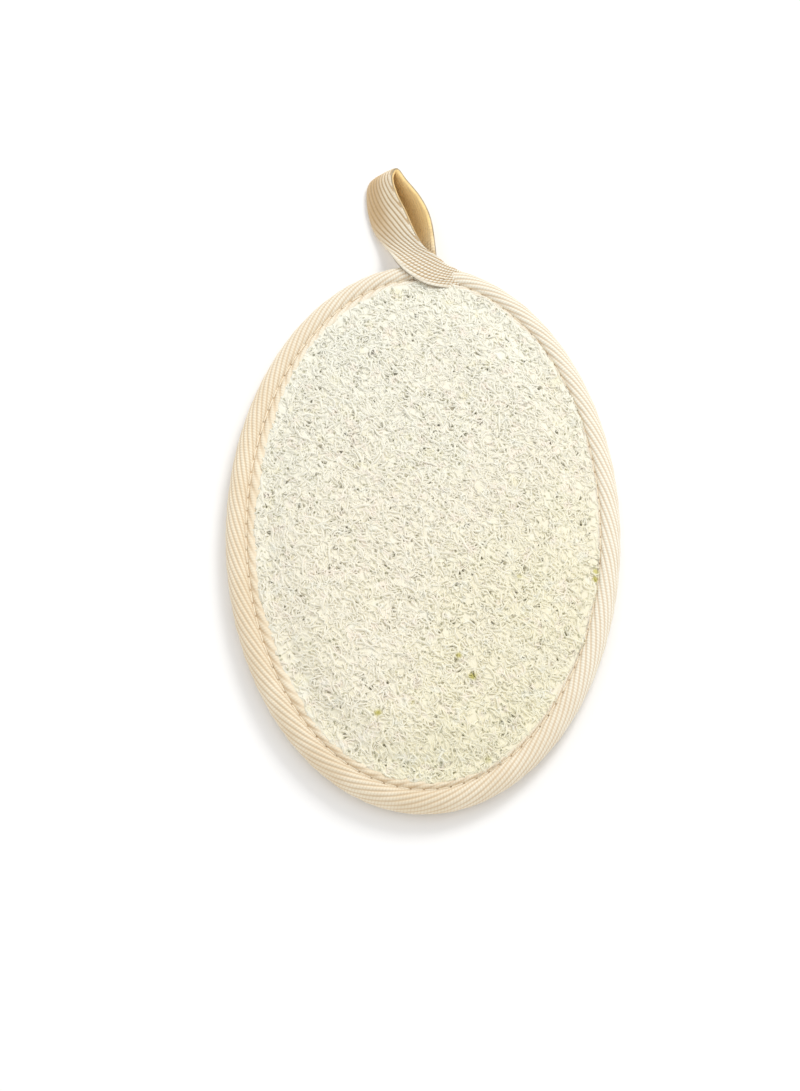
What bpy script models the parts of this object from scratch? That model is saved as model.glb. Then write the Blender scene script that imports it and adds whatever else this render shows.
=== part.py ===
"""Oval scrubbing pad of pressed loofah, bound with cotton twill tape and sewn, with a hanging loop.

The pad lies flat. The origin is the middle of its underside, +Y runs along the oval to the loop, +Z up.
"""

import math
import random
from bisect import bisect_right
from typing import NamedTuple

import bmesh
import bpy
from mathutils import Matrix, Vector
from mathutils.geometry import delaunay_2d_cdt

# The oval, over its binding
LENGTH = 0.140
WIDTH = 0.090
SEAT_GAP = 0.0003

# The binding tape, folded over the rim
TAPE_THICKNESS = 0.00085
RIM_HEIGHT = 0.0065
MIDDLE_HEIGHT = RIM_HEIGHT / 2
LIP_WIDTH = 0.0062
LIP_WANDER = 0.0011
LIP_RISE = 0.0030
SEAM_INSET = 0.0047
SEAM_RISE = 0.0021
PUFF_INSET = 0.0031
PUFF_RISE = MIDDLE_HEIGHT - 0.0001
SHOULDER_INSET = 0.0011
SHOULDER_RISE = 0.0023

# The twill: slanting ribs, two mesh stations to a rib
RIBS_ROUND_RIM = 96
RIB_SLANT = math.radians(24)
RIB_RELIEF = 0.00035

# The pressed loofah
PAD_EDGE_INSET = 0.0023
PAD_EDGE_RISE = 0.0005
PAD_LIP_RISE = 0.0012
PAD_TOP = 0.0088
PAD_SHOULDER = 0.013
UNDERSIDE_SHOULDER = 0.006
NET_SPACING = 0.0040
NET_JITTER = 0.36
NET_ROUGHNESS = 0.00035
PIT_DEPTH = 0.0012
PAD_EDGE_POINTS = 80
FLAT_SPOT_RADIUS = 0.0045
FLAT_SPOT_SIDES = 8
NET_SEED = 7

# The seam
STITCHES = 96
THREAD_RADIUS = 0.00024
STITCH_BOW = 0.00012

# A ring is spun with a section of radius 1 at this radius, before its vertices are moved to their places
SPUN_RADIUS = 3

# The hanging loop, as the two edges of its folded tape. It starts lying along the front of the rim, turns
# up over it, goes round the loop and ends behind the rim.
LOOP_THICKNESS = 0.0011
LOOP_RIBS = 20
LOOP_STRIPS_ACROSS = 4
LOOP_LOWER_EDGE = (
    (0.0085, 0.0628, 0.0071),
    (0.0032, 0.0629, 0.0071),
    (0.0000, 0.0639, 0.0072),
    (-0.0030, 0.0661, 0.0074),
    (-0.0054, 0.0690, 0.0070),
    (-0.0069, 0.0727, 0.0048),
    (-0.0088, 0.0770, 0.0021),
    (-0.0113, 0.0822, 0.0009),
    (-0.0127, 0.0886, 0.0009),
    (-0.0124, 0.0946, 0.0009),
    (-0.0098, 0.0962, 0.0009),
    (-0.0058, 0.0924, 0.0009),
    (-0.0022, 0.0870, 0.0009),
    (-0.0002, 0.0822, 0.0009),
    (0.0003, 0.0775, 0.0009),
    (-0.0006, 0.0712, 0.0009),
)
LOOP_UPPER_EDGE = (
    (0.0092, 0.0673, 0.0071),
    (0.0064, 0.0681, 0.0072),
    (0.0052, 0.0690, 0.0074),
    (0.0044, 0.0700, 0.0077),
    (0.0036, 0.0712, 0.0080),
    (0.0021, 0.0729, 0.0083),
    (-0.0009, 0.0757, 0.0084),
    (-0.0036, 0.0815, 0.0084),
    (-0.0066, 0.0876, 0.0084),
    (-0.0070, 0.0920, 0.0084),
    (-0.0052, 0.0939, 0.0084),
    (-0.0026, 0.0912, 0.0084),
    (0.0006, 0.0868, 0.0084),
    (0.0028, 0.0822, 0.0083),
    (0.0036, 0.0775, 0.0072),
    (0.0040, 0.0712, 0.0054),
)

LOOFAH_COLOUR = (0.86, 0.82, 0.66, 1)
TAPE_COLOUR = (0.90, 0.78, 0.58, 1)
THREAD_COLOUR = (0.91, 0.84, 0.69, 1)


class SectionPoint(NamedTuple):
    """A corner of the folded tape's section, with the way its ribs stand out."""

    inset: float
    rise: float
    relief: tuple[float, float]
    at_lip: bool = False


def clear_scene():
    for obj in list(bpy.data.objects):
        bpy.data.objects.remove(obj)


def material(name, colour, roughness):
    made = bpy.data.materials.new(name)
    made.use_nodes = True
    shader = made.node_tree.nodes["Principled BSDF"]
    shader.inputs["Base Color"].default_value = colour
    shader.inputs["Roughness"].default_value = roughness
    shader.inputs["Metallic"].default_value = 0.0
    return made


def add_object(name, bm, finish):
    """Closes the mesh's triangles, turns its faces outwards and puts it in the scene."""
    bmesh.ops.triangulate(bm, faces=bm.faces, quad_method="SHORT_EDGE")
    bmesh.ops.recalc_face_normals(bm, faces=bm.faces)
    mesh = bpy.data.meshes.new(name)
    bm.to_mesh(mesh)
    bm.free()
    mesh.materials.append(finish)
    obj = bpy.data.objects.new(name, mesh)
    bpy.context.scene.collection.objects.link(obj)
    return obj


def oval_point(angle, inset, height):
    """The point that lies inset inwards from the oval's outline, square to it."""
    outline = Vector((WIDTH / 2 * math.cos(angle), LENGTH / 2 * math.sin(angle), height))
    outward = Vector((LENGTH * math.cos(angle), WIDTH * math.sin(angle), 0)).normalized()
    return outline - outward * inset


def arc_lengths(samples):
    lengths = [0.0]
    for step in range(samples):
        ends = [oval_point(2 * math.pi * k / samples, 0, 0) for k in (step, step + 1)]
        lengths.append(lengths[-1] + (ends[1] - ends[0]).length)
    return lengths


ARC = arc_lengths(720)
PERIMETER = ARC[-1]


def angle_at(distance):
    """The oval's angle at a distance along its outline, counted anticlockwise from +X."""
    distance %= PERIMETER
    step = min(bisect_right(ARC, distance), len(ARC) - 1)
    part = (distance - ARC[step - 1]) / (ARC[step] - ARC[step - 1])
    return 2 * math.pi * (step - 1 + part) / (len(ARC) - 1)


def lip_width(angle):
    """The lip is widest on the left and narrowest on the right, as a hand-guided tape wanders."""
    return LIP_WIDTH - LIP_WANDER * math.cos(angle)


def tape_section():
    """The folded tape's section, from the front lip round the fold to the back lip, then back inside."""
    lip = SectionPoint(LIP_WIDTH, LIP_RISE, (0, 0.6), at_lip=True)
    seam = SectionPoint(SEAM_INSET, SEAM_RISE, (0, 0))
    puff = SectionPoint(PUFF_INSET, PUFF_RISE, (0, 1))
    shoulder = SectionPoint(SHOULDER_INSET, SHOULDER_RISE, (0.7, 0.7))
    fold = SectionPoint(0, 0, (1, 0))
    front = [lip, seam, puff, shoulder]
    inner_front = [point._replace(rise=point.rise - TAPE_THICKNESS, relief=(0, 0)) for point in front[:3]]
    inner_fold = SectionPoint(TAPE_THICKNESS, 0, (0, 0))
    outer = [*front, fold, *map(turned_under, reversed(front))]
    inner = [*map(turned_under, inner_front), inner_fold, *reversed(inner_front)]
    return outer, inner


def turned_under(point):
    """The same corner on the back of the pad."""
    return point._replace(rise=-point.rise, relief=(point.relief[0], -point.relief[1]))


def developed_widths(outer):
    """How far each corner lies across the tape from the front lip's edge, the inner corners as theirs."""
    widths = [0.0]
    for before, after in zip(outer, outer[1:]):
        widths.append(widths[-1] + math.hypot(after.inset - before.inset, after.rise - before.rise))
    under_lip, middle = widths[:3], widths[len(outer) // 2]
    return [*widths, *reversed(widths[-3:]), middle, *reversed(under_lip)]


def spun_ring(corners, stations):
    """A ring of quads made by turning a section once round, with each vertex's corner and station kept."""
    bm = bmesh.new()
    corner_layer = bm.verts.layers.int.new("corner")
    section = [
        bm.verts.new((SPUN_RADIUS + math.cos(turn), 0, math.sin(turn)))
        for turn in (2 * math.pi * k / corners for k in range(corners))
    ]
    for corner, vert in enumerate(section):
        vert[corner_layer] = corner
    edges = [bm.edges.new((section[k], section[(k + 1) % corners])) for k in range(corners)]
    bmesh.ops.spin(
        bm,
        geom=section + edges,
        axis=(0, 0, 1),
        cent=(0, 0, 0),
        angle=2 * math.pi,
        steps=stations,
        use_merge=True,
    )
    placed = []
    for vert in bm.verts:
        turn = math.atan2(vert.co.y, vert.co.x) / (2 * math.pi) % 1
        placed.append((vert, vert[corner_layer], round(turn * stations) % stations))
    return bm, placed


def make_binding_tape():
    outer, inner = tape_section()
    section = [*outer, *inner]
    widths = developed_widths(outer)
    stations = 2 * RIBS_ROUND_RIM
    bm, placed = spun_ring(len(section), stations)
    for vert, corner, station in placed:
        point = section[corner]
        slide = widths[corner] / math.tan(RIB_SLANT)
        angle = angle_at(PERIMETER * station / stations - slide)
        crest = RIB_RELIEF * (station % 2) - RIB_RELIEF
        inset = lip_width(angle) if point.at_lip else point.inset
        vert.co = oval_point(
            angle, inset - crest * point.relief[0], MIDDLE_HEIGHT + point.rise + crest * point.relief[1]
        )
    return add_object("binding_tape", bm, material("cotton_twill", TAPE_COLOUR, 0.85))


def make_thread(name, side):
    """One thread of the seam: a ring that bows up over each stitch and dips at each needle hole."""
    corners = 3
    stations = 2 * STITCHES
    bm, placed = spun_ring(corners, stations)
    for vert, corner, station in placed:
        turn = 2 * math.pi * corner / corners
        bow = STITCH_BOW if station % 2 else 0
        rise = SEAM_RISE + SEAT_GAP + THREAD_RADIUS * (1 + math.sin(turn)) + bow
        inset = SEAM_INSET + THREAD_RADIUS * math.cos(turn)
        vert.co = oval_point(angle_at(PERIMETER * station / stations), inset, MIDDLE_HEIGHT + side * rise)
    return add_object(name, bm, material(name + "_cotton", THREAD_COLOUR, 0.7))


def smooth_step(value):
    value = min(max(value, 0.0), 1.0)
    return value * value * (3 - 2 * value)


def depth_from_outline(point):
    """How far a point lies inside the oval's outline, near enough: exact on the axes."""
    x, y = point.x / (WIDTH / 2), point.y / (LENGTH / 2)
    share = math.hypot(x, y)
    if share < 1e-6:
        return WIDTH / 2
    slope = math.hypot(x / (WIDTH / 2), y / (LENGTH / 2)) / share
    return (1 - share) / slope if slope * WIDTH > 1e-6 else WIDTH / 2


def lip_edge_depth(point):
    """The depth at which the loofah comes out from under the lip."""
    return lip_width(math.atan2(point.y / LENGTH, point.x / WIDTH)) + SEAT_GAP


def pad_height(point, side):
    """The height of the loofah's net over a point, on the front (1) or the back (-1)."""
    past_lip = depth_from_outline(point) - lip_edge_depth(point)
    pressed = MIDDLE_HEIGHT + side * PAD_LIP_RISE
    if side > 0:
        return pressed + (PAD_TOP - pressed) * math.sqrt(smooth_step(past_lip / PAD_SHOULDER))
    return pressed * (1 - smooth_step(past_lip / UNDERSIDE_SHOULDER))


def net_points(draw, side):
    """Scattered crossings of the net: a staggered lattice with every point moved by chance."""
    points = []
    row_step = NET_SPACING * math.sqrt(3) / 2
    rows = int(LENGTH / 2 / row_step)
    columns = int(WIDTH / 2 / NET_SPACING) + 1
    for row in range(-rows, rows + 1):
        for column in range(-columns, columns + 1):
            shift = Vector((draw.uniform(-1, 1), draw.uniform(-1, 1))) * NET_JITTER * NET_SPACING
            point = Vector(((column + row % 2 / 2) * NET_SPACING, row * row_step)) + shift
            past_lip = depth_from_outline(point) - lip_edge_depth(point)
            near_flat_spot = side < 0 and point.length < FLAT_SPOT_RADIUS + NET_SPACING * 0.6
            if past_lip > NET_SPACING / 2 and not near_flat_spot:
                points.append(point)
    return points


def closed_chain(first, count):
    """Index pairs that join count points in a ring."""
    return [(first + k, first + (k + 1) % count) for k in range(count)]


def add_face_of_pad(bm, side):
    """One face of the pad: an irregular net with a pit in each of its meshes. Returns its edge vertices."""
    draw = random.Random(NET_SEED + side)
    angles = [2 * math.pi * k / PAD_EDGE_POINTS for k in range(PAD_EDGE_POINTS)]
    points = [oval_point(angle, PAD_EDGE_INSET, 0).to_2d() for angle in angles]
    points += [oval_point(angle, lip_width(angle) + SEAT_GAP, 0).to_2d() for angle in angles]
    borders = closed_chain(0, PAD_EDGE_POINTS) + closed_chain(PAD_EDGE_POINTS, PAD_EDGE_POINTS)
    points += net_points(draw, side)
    if side < 0:
        borders += closed_chain(len(points), FLAT_SPOT_SIDES)
        turns = [2 * math.pi * (k + 0.5) / FLAT_SPOT_SIDES for k in range(FLAT_SPOT_SIDES)]
        points += [Vector((math.cos(turn), math.sin(turn))) * FLAT_SPOT_RADIUS for turn in turns]
    places, _, triangles, _, _, _ = delaunay_2d_cdt(points, borders, [], 1, 1e-7)
    verts = []
    for index, place in enumerate(places):
        height = pad_height(place, side)
        if index < PAD_EDGE_POINTS:
            height = MIDDLE_HEIGHT + side * PAD_EDGE_RISE
        elif index >= 2 * PAD_EDGE_POINTS and side > 0:
            height -= draw.uniform(0, NET_ROUGHNESS)
        verts.append(bm.verts.new((place.x, place.y, height)))
    faces = [bm.faces.new([verts[k] for k in triangle]) for triangle in triangles]
    flat_spot = [f for f in faces if all(v.co.xy.length < FLAT_SPOT_RADIUS * 1.01 for v in f.verts)]
    rim = set(verts[: 2 * PAD_EDGE_POINTS])
    net = [face for face in faces if face not in flat_spot and not rim.issuperset(face.verts)]
    bmesh.ops.join_triangles(
        bm, faces=net, angle_face_threshold=math.radians(60), angle_shape_threshold=math.radians(100)
    )
    meshes = [face for face in net if face.is_valid]
    sunk = bmesh.ops.poke(bm, faces=meshes, center_mode="MEAN_WEIGHTED")["verts"]
    for vert in sunk:
        past_lip = depth_from_outline(vert.co) - lip_edge_depth(vert.co)
        vert.co.z -= side * PIT_DEPTH * smooth_step(past_lip / NET_SPACING)
    return verts[:PAD_EDGE_POINTS]


def make_loofah_pad():
    bm = bmesh.new()
    front_edge = add_face_of_pad(bm, 1)
    back_edge = add_face_of_pad(bm, -1)
    for k in range(PAD_EDGE_POINTS):
        after = (k + 1) % PAD_EDGE_POINTS
        bm.faces.new((front_edge[k], back_edge[k], back_edge[after], front_edge[after]))
    return add_object("loofah_pad", bm, material("loofah", LOOFAH_COLOUR, 0.9))


def smooth_route(points, steps):
    """Evenly spaced points on a smooth curve through the given ones."""
    knots = [Vector(point) for point in points]
    knots = [2 * knots[0] - knots[1], *knots, 2 * knots[-1] - knots[-2]]
    route = []
    for k in range(1, len(knots) - 2):
        before, start, end, after = knots[k - 1 : k + 3]
        for part in range(steps):
            t = part / steps
            curve = 2 * start + (end - before) * t
            curve += (2 * before - 5 * start + 4 * end - after) * t**2
            curve += (3 * start - before - 3 * end + after) * t**3
            route.append(curve / 2)
    return [*route, knots[-2]]


def route_point(route, share):
    place = min(max(share, 0.0), 1.0) * (len(route) - 1)
    index = min(int(place), len(route) - 2)
    return route[index].lerp(route[index + 1], place - index)


def make_hanging_loop():
    """A ribbed strip, made flat and then laid between the loop's two edges."""
    lower = smooth_route(LOOP_LOWER_EDGE, 8)
    upper = smooth_route(LOOP_UPPER_EDGE, 8)
    length = sum((b - a).length for a, b in zip(lower, lower[1:]))
    width = sum((u - v).length for u, v in zip(lower, upper)) / len(lower)
    slide = width / math.tan(RIB_SLANT)
    rib = length / LOOP_RIBS
    spare = math.ceil(slide / rib) + 1
    bm = bmesh.new()
    bmesh.ops.create_grid(
        bm,
        x_segments=2 * (LOOP_RIBS + 2 * spare),
        y_segments=LOOP_STRIPS_ACROSS,
        size=1,
        matrix=Matrix.Diagonal((rib * (LOOP_RIBS / 2 + spare), width / 2, 1, 1)),
    )
    bmesh.ops.translate(bm, verts=bm.verts, vec=(length / 2, width / 2, 0))
    for vert in bm.verts:
        vert.co.x += (vert.co.y / width - 0.5) * slide
    for end, outward in ((0, -1), (length, 1)):
        bmesh.ops.bisect_plane(
            bm,
            geom=bm.verts[:] + bm.edges[:] + bm.faces[:],
            plane_co=(end, 0, 0),
            plane_no=(outward, 0, 0),
            dist=1e-6,
            clear_outer=True,
        )
    bmesh.ops.remove_doubles(bm, verts=bm.verts, dist=rib / 12)
    back = bmesh.ops.extrude_face_region(bm, geom=bm.faces[:])["geom"]
    back_verts = {item for item in back if isinstance(item, bmesh.types.BMVert)}
    for vert in bm.verts:
        along = vert.co.x - (vert.co.y / width - 0.5) * slide
        wave = abs(along / rib % 1 - 0.5) * 2
        relief = RIB_RELIEF * (wave - 1)
        depth = -LOOP_THICKNESS / 2 - relief if vert in back_verts else LOOP_THICKNESS / 2 + relief
        share = vert.co.x / length
        low, high = route_point(lower, share), route_point(upper, share)
        ahead = route_point(lower, share + 0.01) + route_point(upper, share + 0.01)
        behind = route_point(lower, share - 0.01) + route_point(upper, share - 0.01)
        facing = (ahead - behind).cross(high - low).normalized()
        vert.co = low.lerp(high, vert.co.y / width) + facing * depth
    return add_object("hanging_loop", bm, material("loop_twill", TAPE_COLOUR, 0.85))


def main():
    clear_scene()
    make_loofah_pad()
    make_binding_tape()
    make_hanging_loop()
    make_thread("needle_thread", 1)
    make_thread("bobbin_thread", -1)


main()
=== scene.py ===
"""Looks of an oval loofah pad: fibres, twill binding, seam and hanging loop, and the studio."""

import logging
import math
from collections.abc import Callable, Sequence
from dataclasses import dataclass, field
from enum import Enum

import bmesh
import bpy
import numpy as np
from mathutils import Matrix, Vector, noise
from mathutils.kdtree import KDTree


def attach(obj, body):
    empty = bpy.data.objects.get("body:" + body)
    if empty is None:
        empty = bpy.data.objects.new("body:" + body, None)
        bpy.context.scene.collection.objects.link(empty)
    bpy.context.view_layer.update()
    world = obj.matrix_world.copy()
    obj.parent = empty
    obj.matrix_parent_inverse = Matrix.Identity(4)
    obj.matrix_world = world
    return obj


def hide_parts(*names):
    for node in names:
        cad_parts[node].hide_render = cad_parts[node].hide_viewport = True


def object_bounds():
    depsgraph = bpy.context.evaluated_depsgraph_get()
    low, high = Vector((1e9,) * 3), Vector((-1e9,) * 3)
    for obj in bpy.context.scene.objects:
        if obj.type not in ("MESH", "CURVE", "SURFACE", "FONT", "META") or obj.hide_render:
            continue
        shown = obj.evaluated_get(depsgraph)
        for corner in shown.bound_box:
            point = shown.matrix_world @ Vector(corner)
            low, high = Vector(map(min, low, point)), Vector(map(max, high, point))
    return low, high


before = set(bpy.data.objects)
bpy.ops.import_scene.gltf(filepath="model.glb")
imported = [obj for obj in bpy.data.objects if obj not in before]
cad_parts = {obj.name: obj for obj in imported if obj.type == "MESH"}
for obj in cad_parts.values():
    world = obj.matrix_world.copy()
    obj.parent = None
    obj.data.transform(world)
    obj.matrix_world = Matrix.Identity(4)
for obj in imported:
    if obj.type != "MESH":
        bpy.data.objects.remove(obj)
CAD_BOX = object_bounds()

LOG = logging.getLogger("loofah_pad")
MM = 0.001
TINY = 1e-6
Colour = tuple[float, float, float]
Place = tuple[float, float, float]
Pair = tuple[float, float]
Ripple = tuple[float, float, float]
Points = np.ndarray
Socket = bpy.types.NodeSocket
Material = bpy.types.Material
Mesh = bpy.types.Mesh
GridWay = Callable[[Points, Points], Points]


class Face(Enum):
    """The two faces of the flat pad."""

    FRONT = 1
    BACK = -1


@dataclass(frozen=True)
class Value:
    """A number in a material. Python's arithmetic on it adds Math nodes."""

    sheet: "ShaderSheet"
    socket: Socket

    def maths(self, operation: str, *others: "Value | float") -> "Value":
        """Joins this number to others by one Math node.

        Args:
            operation: the Math node's operation.
            others: the further inputs, as numbers or values.

        Returns:
            The node's result.
        """
        inputs = dict(enumerate((self, *others)))
        return self.sheet.value("ShaderNodeMath", {"operation": operation}, inputs)

    def __add__(self, other: "Value | float") -> "Value":
        """Sum."""
        return self.maths("ADD", other)

    def __sub__(self, other: "Value | float") -> "Value":
        """Difference."""
        return self.maths("SUBTRACT", other)

    def __rsub__(self, other: float) -> "Value":
        """Difference from a plain number."""
        return (self * -1.0) + other

    def __mul__(self, other: "Value | float") -> "Value":
        """Product."""
        return self.maths("MULTIPLY", other)

    def power(self, exponent: float) -> "Value":
        """This number raised to a plain exponent."""
        return self.maths("POWER", exponent)

    def wave(self) -> "Value":
        """The cosine of this number of turns, from 0 to 1."""
        return (self * math.tau).maths("COSINE") * 0.5 + 0.5

    def between(self, low: float, high: float) -> "Value":
        """0 at low, 1 at high, and smooth between them, whichever of the two is larger."""
        settings = {"interpolation_type": "SMOOTHSTEP"}
        inputs = {0: self, 1: low, 2: high, 3: 0.0, 4: 1.0}
        return self.sheet.value("ShaderNodeMapRange", settings, inputs)


class ShaderSheet:
    """The node sheet of one material, ending in a Principled shader."""

    def __init__(self, name: str) -> None:
        """Starts a material with only its shader and output.

        Args:
            name: the material's name.
        """
        self.material = bpy.data.materials.new(name)
        self.material.use_nodes = True
        self.tree = self.material.node_tree
        self.shader = self.tree.nodes["Principled BSDF"]

    def node(self, kind: str, settings: dict, inputs: dict) -> bpy.types.Node:
        """Adds one node.

        Args:
            kind: the node's type.
            settings: its own settings.
            inputs: a number, colour, socket or Value for each socket, by name or index.

        Returns:
            The node.
        """
        made = self.tree.nodes.new(kind)
        for key, setting in settings.items():
            setattr(made, key, setting)
        for key, given in inputs.items():
            self.feed(made.inputs[key], given)
        return made

    def feed(self, socket: Socket, given: object) -> None:
        """Sets or links one input socket."""
        if isinstance(given, Value):
            given = given.socket
        if isinstance(given, Socket):
            self.tree.links.new(given, socket)
        elif socket.type == "RGBA":
            socket.default_value = (*given, 1.0)
        else:
            socket.default_value = given

    def value(self, kind: str, settings: dict, inputs: dict, output: int | str = 0) -> Value:
        """Adds one node and returns one of its outputs as a number."""
        return Value(self, self.node(kind, settings, inputs).outputs[output])

    def place(self) -> Socket:
        """Where a point lies on the resting part, in metres."""
        return self.node("ShaderNodeTexCoord", {}, {}).outputs["Object"]

    def split(self, place: Socket) -> tuple[Value, Value]:
        """The first two of some coordinates, as numbers."""
        parts = self.node("ShaderNodeSeparateXYZ", {}, {0: place}).outputs
        return Value(self, parts[0]), Value(self, parts[1])

    def moved(self, place: Socket, turn: float, scale: Place) -> Socket:
        """Turns a pattern about +Z and squeezes it.

        Args:
            place: the coordinates to change.
            turn: the angle in radians.
            scale: how often it is squeezed along each axis, after the turn.

        Returns:
            The new coordinates.
        """
        for change in ({"Rotation": (0.0, 0.0, turn)}, {"Scale": scale}):
            place = self.node("ShaderNodeMapping", {}, {"Vector": place, **change}).outputs[0]
        return place

    def grain(self, place: Socket, size: float, detail: float, rough: float = 0.55) -> Value:
        """Cloudy noise whose lumps are about size metres across, round 0.5."""
        inputs = {"Vector": place, "Scale": 1.0 / size, "Detail": detail, "Roughness": rough}
        return self.value("ShaderNodeTexNoise", {}, inputs, "Fac")

    def blended(self, share: Value, low: object, high: object) -> Socket:
        """Mixes two colours.

        Args:
            share: how much of high shows.
            low: the colour or socket at 0.
            high: the colour or socket at 1.

        Returns:
            The mixed colour.
        """
        settings = {"data_type": "RGBA", "blend_type": "MIX", "clamp_factor": True}
        return self.node("ShaderNodeMix", settings, {0: share, 6: low, 7: high}).outputs[2]

    def bumped(self, height: Value, depth: float) -> None:
        """Raises the surface's light and shade by a height of 0 to 1, depth metres deep."""
        inputs = {"Strength": 1.0, "Distance": depth, "Height": height}
        bump = self.node("ShaderNodeBump", {}, inputs)
        self.feed(self.shader.inputs["Normal"], bump.outputs[0])

    def finish(self, colour: object, roughness: object, shine: float, sheen: float) -> Material:
        """Feeds the shader.

        Args:
            colour: the base colour.
            roughness: the roughness.
            shine: how strongly the surface mirrors, from 0.
            sheen: the soft glow of fuzz, from 0.

        Returns:
            The material.
        """
        self.feed(self.shader.inputs["Base Color"], colour)
        self.feed(self.shader.inputs["Roughness"], roughness)
        self.shader.inputs["Specular IOR Level"].default_value = shine
        self.shader.inputs["Sheen Weight"].default_value = sheen
        return self.material


@dataclass(frozen=True)
class Blot:
    """A small stain in the loofah."""

    x: float
    y: float
    reach: float
    strength: float


@dataclass(frozen=True)
class LoofahFinish:
    """Dried, whitened loofah: pale cream, cooler at the top, yellower at the lower right, with
    painted shade between strands and in the net's small pits.
    """

    name: str
    cream: Colour = (0.90, 0.86, 0.73)
    cool: Colour = (0.88, 0.88, 0.79)
    straw: Colour = (0.89, 0.85, 0.64)
    blush: Colour = (0.92, 0.83, 0.73)
    shade: Colour = (0.72, 0.66, 0.47)
    olive: Colour = (0.55, 0.50, 0.12)
    # Painted shade: small dark spots in the open pits of the net.
    pore_shade: Colour = (0.42, 0.40, 0.25)
    pore_spacing: float = 0.0026
    pore_shade_size: Pair = (0.15, 0.06)
    pore_shade_share: float = 0.75
    crowded: Pair = (0.30, 0.62)
    depth_shade: float = 0.14
    slant: float = math.radians(58)
    strand_size: float = 0.0022
    bump_size: float = 0.0006
    bump_depth: float = 0.00012
    yellower: Pair = (-0.15, 1.0)
    cooler: Pair = (-0.4, 1.1)
    blots: tuple[Blot, ...] = (
        Blot(-0.0101, -0.0482, 0.0012, 0.9),
        Blot(0.0077, -0.0345, 0.0010, 0.8),
        Blot(0.0107, -0.0395, 0.0014, 0.9),
        Blot(0.0388, -0.0145, 0.0012, 0.9),
        Blot(0.0389, -0.0125, 0.0011, 0.8),
        Blot(-0.0025, -0.0457, 0.0008, 0.35),
        Blot(0.0140, -0.0585, 0.0016, 0.35),
        Blot(0.0216, -0.0150, 0.0009, 0.4),
    )

    def dress(self) -> Material:
        """Builds the material."""
        sheet = ShaderSheet(self.name)
        place = sheet.place()
        across, along = sheet.split(place)
        patches = sheet.grain(place, 0.018, 2.0)
        down_right = across * 9.0 - along * 9.0 + (patches - 0.5) * 1.6
        upward = along * 14.0 - across * 4.0 + (patches - 0.5) * 1.2
        colour = sheet.blended(down_right.between(*self.yellower) * 0.75, self.cream, self.straw)
        colour = sheet.blended(upward.between(*self.cooler) * 0.7, colour, self.cool)
        drawn_out = sheet.moved(place, self.slant, (1.0, 3.2, 1.0))
        strands = sheet.grain(drawn_out, self.strand_size, 4.0, 0.65)
        colour = sheet.blended(strands.between(0.60, 0.30) * self.depth_shade, colour, self.shade)
        for size, seen, share, fleck in (
            (0.0031, (0.55, 0.70), 0.50, self.blush),
            (0.0026, (0.56, 0.70), 0.45, self.cool),
            (0.0038, (0.60, 0.74), 0.50, self.straw),
        ):
            flecks = sheet.grain(place, size, 2.0).between(*seen)
            colour = sheet.blended(flecks * share, colour, fleck)
        # Painted shade in the small open pits of the net, thinned out in patches.
        cells = {"Vector": place, "Scale": 1 / self.pore_spacing}
        flat = {"voronoi_dimensions": "2D"}
        from_pore = sheet.value("ShaderNodeTexVoronoi", flat, cells, "Distance")
        from_pore += (strands - 0.5) * 0.14
        crowded = sheet.grain(place, 0.009, 2.0).between(*self.crowded)
        pore_shade_mask = from_pore.between(*self.pore_shade_size) * crowded
        colour = sheet.blended(pore_shade_mask * self.pore_shade_share, colour, self.pore_shade)
        for blot in self.blots:
            away = ((across - blot.x).power(2.0) + (along - blot.y).power(2.0)).power(0.5)
            spread = (away + (strands - 0.5) * 0.0012).between(blot.reach, blot.reach * 0.2)
            colour = sheet.blended(spread * blot.strength, colour, self.olive)
        fine = sheet.moved(place, self.slant, (1.0, 2.5, 1.0))
        sheet.bumped(sheet.grain(fine, self.bump_size, 3.0), self.bump_depth)
        return sheet.finish(colour, strands * 0.2 + 0.68, 0.25, 0.0)


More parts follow.
